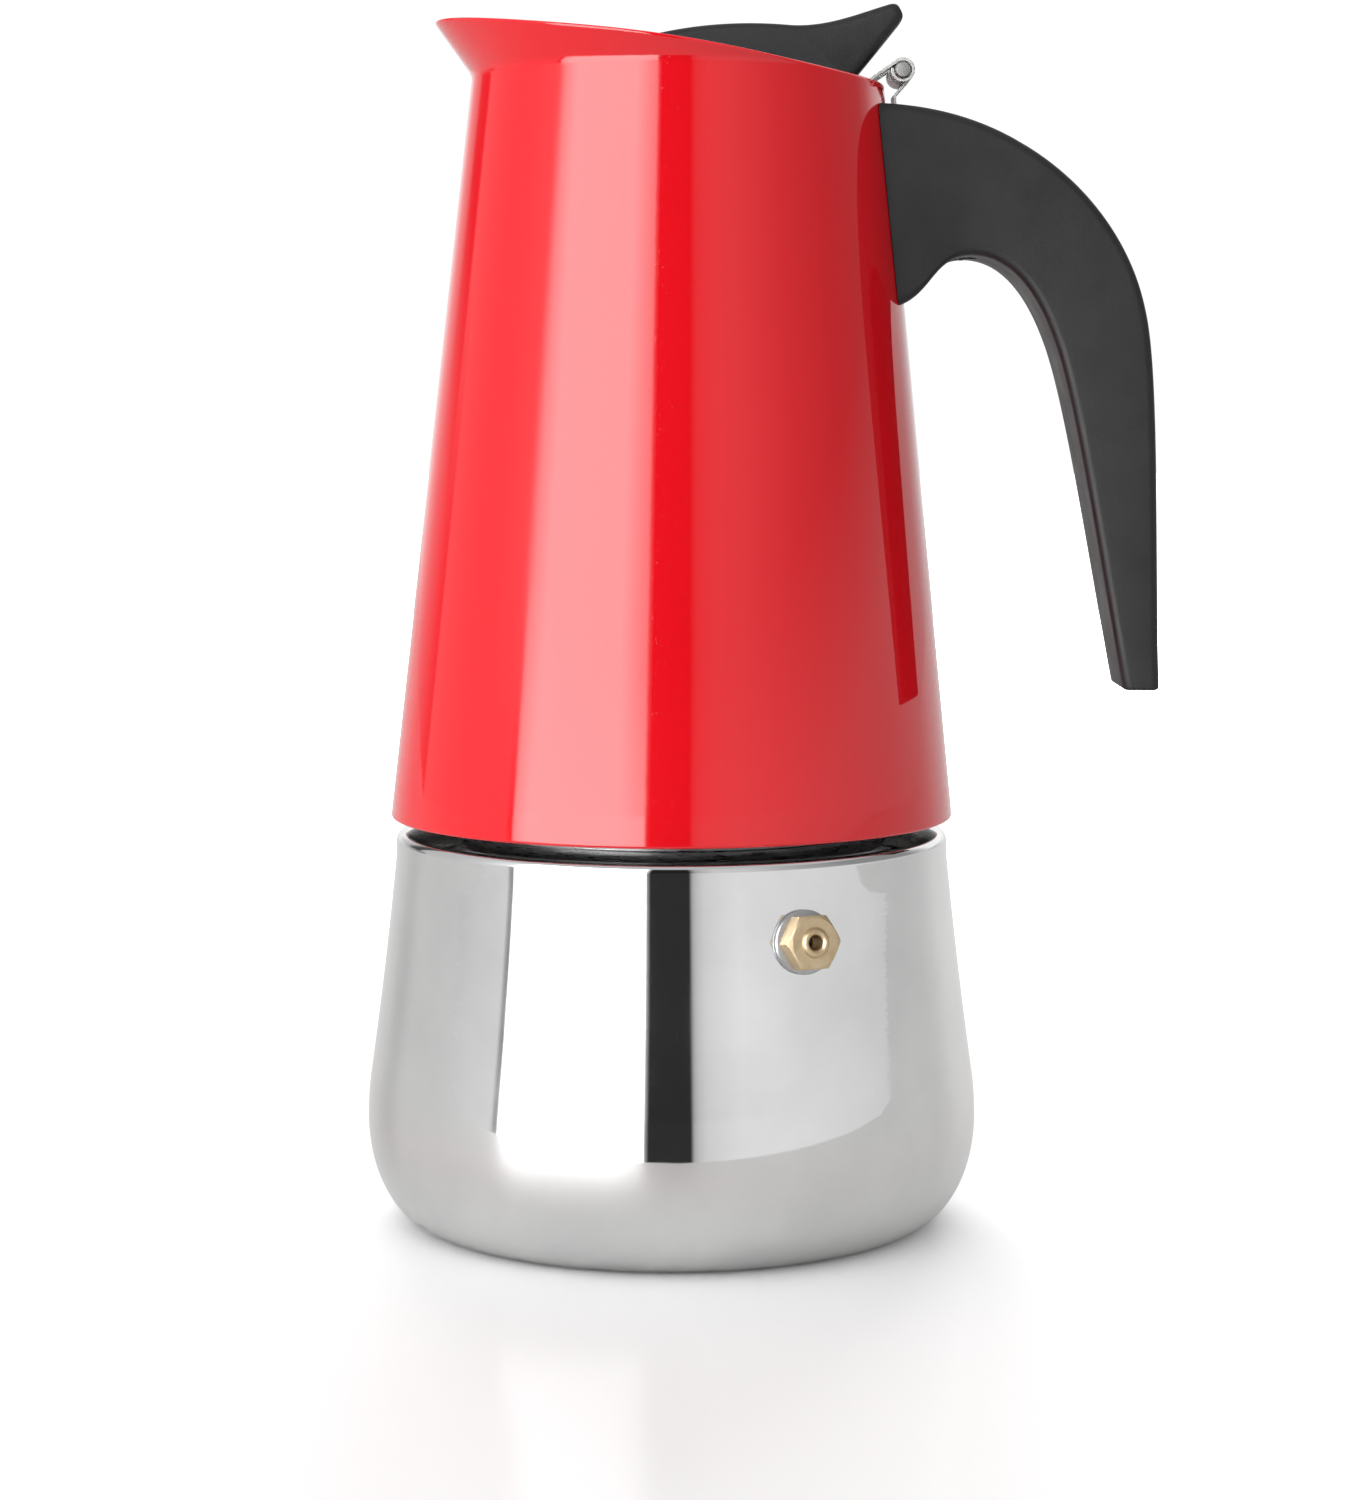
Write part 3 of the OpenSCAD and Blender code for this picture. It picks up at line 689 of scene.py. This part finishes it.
def build_hinge():
    hx, hz = HINGE
    r = LOOP_OUT
    a = 124.7
    loop = arc(hx, hz, r, a, a - 315, 63)
    top_at = lambda x: lid_top(x) + 0.05 + STRIP_T
    flat = [(21.0 + 0.9 * i, top_at(21.0 + 0.9 * i)) for i in range(10)]
    bend = [(30.3, top_at(30.3)), (30.9, top_at(30.9)), (31.4, top_at(30.9) + 0.35)]
    for k, y in enumerate((-7.0, 3.5)):
        v, f = extrude_y(offset_strip(flat[-1:] + bend + loop, STRIP_T), y, y + 3.5)
        piece(f"lid_loop_{k}", v, f, "lid", "bright_steel", ["lid_hinge_leaf"], sharp=30, bevel=0.1)
    v, f = extrude_y(offset_strip(flat + bend[:1], STRIP_T), -7, 7)
    piece("lid_leaf", v, f, "lid", "bright_steel", ["lid_hinge_leaf"], sharp=30, bevel=0.1)
    kink = (36.35, 184.6)
    b = -43.5
    loop = arc(hx, hz, r, b, b + 315, 63)
    path = list(reversed(loop)) + [kink, (kink[0] + 0.25, kink[1] - 4), (38.0, 160.5)]
    v, f = extrude_y(offset_strip(path, STRIP_T), -3.2, 3.2)
    piece("body_leaf", v, f, "upper", "bright_steel", ["hinge_bracket"], sharp=30, bevel=0.1)
    prof = [(0, 0), (0.95, 0.0), (1.12, 0.03), (PIN_R - 0.04, 0.22), (PIN_R, 0.34)]
    prof += [(PIN_R, 14.66), (PIN_R - 0.04, 14.78), (1.12, 14.97), (0.95, 15), (0, 15)]
    v, f = lathe(prof, 64)
    m = Matrix.Translation(Vector((hx, 7.5, hz)) * MM) @ Matrix.Rotation(math.pi / 2, 4, "X")
    piece("pin", v, f, "upper", "cut_steel", ["hinge_pin"], m, sharp=30)


build_boiler()
build_thread()
build_valve()
build_spring()
build_turned()
build_jug()
build_handle()
build_knob()
build_lid()
build_hinge()

SLOT_OF = {s["node"]: s["material_slot"] for s in frame["record"]["subparts"]}
for name, obj in frame["nodes"].items():
    obj.data.materials.clear()
    obj.data.materials.append(MATS[SLOT_OF[name]])


# ---------------------------------------------------------------- studio
TABLE_FRONT = -0.196


def stage_floor():
    """The table as the camera sees it, with a painted glow that is faint near the pot and full further out (painted
    light, and a painted shadow round the foot), and a shorter, darker copy of the table that only mirrors and bounces
    see (painted shade).
    """
    m, t, p = nodes_of("floor_gloss_and_painted_glow")
    v = coords(t)
    tone = mix(t, noise(t, v, 3, 2), (0.92, 0.92, 0.92), (0.95, 0.95, 0.95))
    t.links.new(tone, p.inputs["Base Color"])
    p.inputs["Roughness"].default_value = 0.9
    p.inputs["Specular IOR Level"].default_value = 0
    # Painted light: the floor's own glow goes from 0.07 within 0.2 m of the pot's axis up to 1 at 0.9 m, which paints
    # a soft shadow round the foot.
    away = node(t, "ShaderNodeVectorMath", {0: v}, operation="LENGTH").outputs["Value"]
    p.inputs["Emission Color"].default_value = (1, 1, 1, 1)
    t.links.new(span(t, away, 0.07, 1, 0.2, 0.9), p.inputs["Emission Strength"])
    gloss = node(t, "ShaderNodeBsdfGlossy", {"Color": (1, 1, 1, 1), "Roughness": 0.16})
    both = node(t, "ShaderNodeMixShader", {0: 0.03, 1: p.outputs[0], 2: gloss.outputs[0]})
    t.links.new(both.outputs[0], t.nodes["Material Output"].inputs["Surface"])
    # Painted shade: the material of a darker copy of the table, which reflections and bounces see in place of the
    # shade near the pot.
    m2, t2, p2 = nodes_of("floor_mirrored_shaded_copy")
    tone2 = mix(t2, noise(t2, coords(t2), 3, 2), (0.80, 0.80, 0.79), (0.84, 0.84, 0.83))
    t2.links.new(tone2, p2.inputs["Base Color"])
    p2.inputs["Roughness"].default_value = 0.35
    p2.inputs["Specular IOR Level"].default_value = 0.1
    s = 6.0
    out = []
    for name, y0, z, mat in (("floor", -s, 0.0, m), ("floor_near_shaded_copy", TABLE_FRONT, -0.00002, m2)):
        me = bpy.data.meshes.new(name)
        me.from_pydata([(-s, y0, z), (s, y0, z), (s, s, z), (-s, s, z)], [], [(0, 1, 2, 3)])
        me.materials.append(mat)
        o = add_object(name, me)
        out.append(o)
    seen, near = out
    # The camera sees only the glowing table, and mirrors and bounces see only its darker copy, which paints shade into
    # the reflections.
    seen.visible_glossy = seen.visible_diffuse = seen.visible_shadow = False
    near.visible_camera = near.visible_shadow = False
    return seen


def ramp(t, fac, stops):
    n = node(t, "ShaderNodeValToRGB", {"Fac": fac})
    cr = n.color_ramp
    cr.interpolation = "LINEAR"
    cr.elements.remove(cr.elements[1])
    for k, (deg, val) in enumerate(stops):
        pos = (deg + 180) / 360
        e = cr.elements[0] if k == 0 else cr.elements.new(pos)
        e.position = pos
        e.color = (val / 8, val / 8, val / 8, 1)
    return node(t, "ShaderNodeMath", {0: n.outputs[0], 1: 8.0}, operation="MULTIPLY").outputs[0]


# (azimuth in degrees from the pot's front (0), + to the right; the studio's radiance there), low down and higher up
BACK = [(-180, 0.06), (-174, 0.06), (-173, 1.0)]
LOW = BACK + [(-160, 0.95), (-151, 0.75), (-142, 0.55), (-132, 0.38), (-125, 0.22), (-123.5, 0.22), (-122, 0.62), (-100, 0.66),
              (-84, 0.76), (-70, 0.8), (-68.5, 0.3), (-67, 0.3), (-66, 5.0), (-60, 7.2), (-20, 7.2), (-10.4, 6.0), (-9.8, 0.035),
              (7.3, 0.035), (8.6, 0.6), (13, 0.8), (27, 0.94), (60, 0.85), (100, 0.72), (128, 0.68), (142, 0.62), (148, 0.74),
              (160, 0.92), (173, 1.0), (174, 0.06)]
HIGH = BACK + [(-164, 1.05), (-155, 0.7), (-144, 0.5), (-139.5, 0.12), (-131.5, 0.07), (-129.5, 0.1), (-127, 0.6), (-100, 0.64),
               (-84, 0.8), (-71, 1.1), (-68.5, 1.6), (-64, 4.6), (-57, 6.8), (-22, 6.8), (-12, 3.9), (-10.6, 3.5), (-9.6, 0.02),
               (7, 0.02), (10, 0.5), (18, 0.74), (30, 0.74), (57, 0.45), (83, 0.3), (118, 0.32), (127, 0.55), (138, 1.1),
               (165, 1.1), (173, 1.0), (174, 0.06)]
TOP_LIGHT, TABLE_LIGHT, DIFFUSE_FLAT, DIFFUSE_TOP = 0.62, 0.8, 0.42, 0.9


def stage_world():
    w = bpy.data.worlds.new("studio")
    bpy.context.scene.world = w
    w.use_nodes = True
    w.cycles.sampling_method = "NONE"
    t = w.node_tree
    bg = t.nodes["Background"]
    s = node(t, "ShaderNodeSeparateXYZ", {"Vector": node(t, "ShaderNodeTexCoord").outputs["Generated"]})
    x, y, z = s.outputs
    neg = node(t, "ShaderNodeMath", {0: y, 1: -1.0}, operation="MULTIPLY").outputs[0]
    turn = span(t, node(t, "ShaderNodeMath", {0: x, 1: neg}, operation="ARCTAN2").outputs[0], 0, 1, -math.pi, math.pi)
    fmix = lambda f, a, b: node(t, "ShaderNodeMix", {0: f, 2: a, 3: b}, data_type="FLOAT").outputs[0]
    bands = fmix(span(t, z, 0, 1, 0.06, 0.14), ramp(t, turn, LOW), ramp(t, turn, HIGH))
    gloss = fmix(span(t, z, 0, 1, 0.6, 0.7), fmix(span(t, z, 0, 1, -0.34, -0.44), bands, TABLE_LIGHT), TOP_LIGHT)
    up = node(t, "ShaderNodeMath", {0: z, 1: 0.0}, operation="MAXIMUM").outputs[0]
    up2 = node(t, "ShaderNodeMath", {0: up, 1: 2.0}, operation="POWER").outputs[0]
    diffuse = node(t, "ShaderNodeMath", {0: up2, 1: DIFFUSE_TOP, 2: DIFFUSE_FLAT}, operation="MULTIPLY_ADD").outputs[0]
    path = node(t, "ShaderNodeLightPath")
    lit = fmix(path.outputs["Is Diffuse Ray"], gloss, diffuse)
    t.links.new(fmix(path.outputs["Is Camera Ray"], lit, 1.05), bg.inputs["Strength"])
    bg.inputs["Color"].default_value = (1, 1, 1, 1)


def soft_light(name, azimuth, elevation, dist, size, level, receivers):
    """Area light that gives an even white surface facing it the radiance `level`; seen by no mirror."""
    a, e = math.radians(azimuth), math.radians(elevation)
    d = bpy.data.lights.new(name, "AREA")
    d.shape, d.size, d.size_y = "RECTANGLE", size[0], size[1]
    d.energy = level * math.pi**2 * dist**2
    o = add_object(name, d)
    aim = Vector((0, 0, 0.1))
    way = Vector((math.sin(a) * math.cos(e), -math.cos(a) * math.cos(e), math.sin(e)))
    o.location = aim + way * dist
    o.rotation_euler = (-way).to_track_quat("-Z", "Y").to_euler()
    o.visible_camera = o.visible_glossy = False
    o.light_linking.receiver_collection = receivers
    return o


def group(name, objects):
    c = bpy.data.collections.new(name)
    for o in objects:
        c.objects.link(o)
    return c


pot = group("pot_lit", [o for o in bpy.context.scene.objects if o.type == "MESH"])
table = stage_floor()
stage_world()
soft_light("key", -45, 22, 1.3, (0.9, 1.0), 1.0, pot)
soft_light("behind_pot", 180, 20, 1.3, (0.9, 0.8), 0.4, pot)
soft_light("behind_table", 180, 16, 1.6, (1.2, 0.6), 1.5, group("table_lit", [table]))

cam = add_object("camera", bpy.data.cameras.new("camera"))
cam.data.lens = 82.8
cam.data.sensor_width = 36
cam.data.clip_start = 0.01
cam.location = (0.00074, -0.569, 0.1354)
cam.rotation_euler = (math.radians(84.24), 0, 0)
bpy.context.scene.camera = cam
bpy.context.scene.view_settings.view_transform = "Standard"
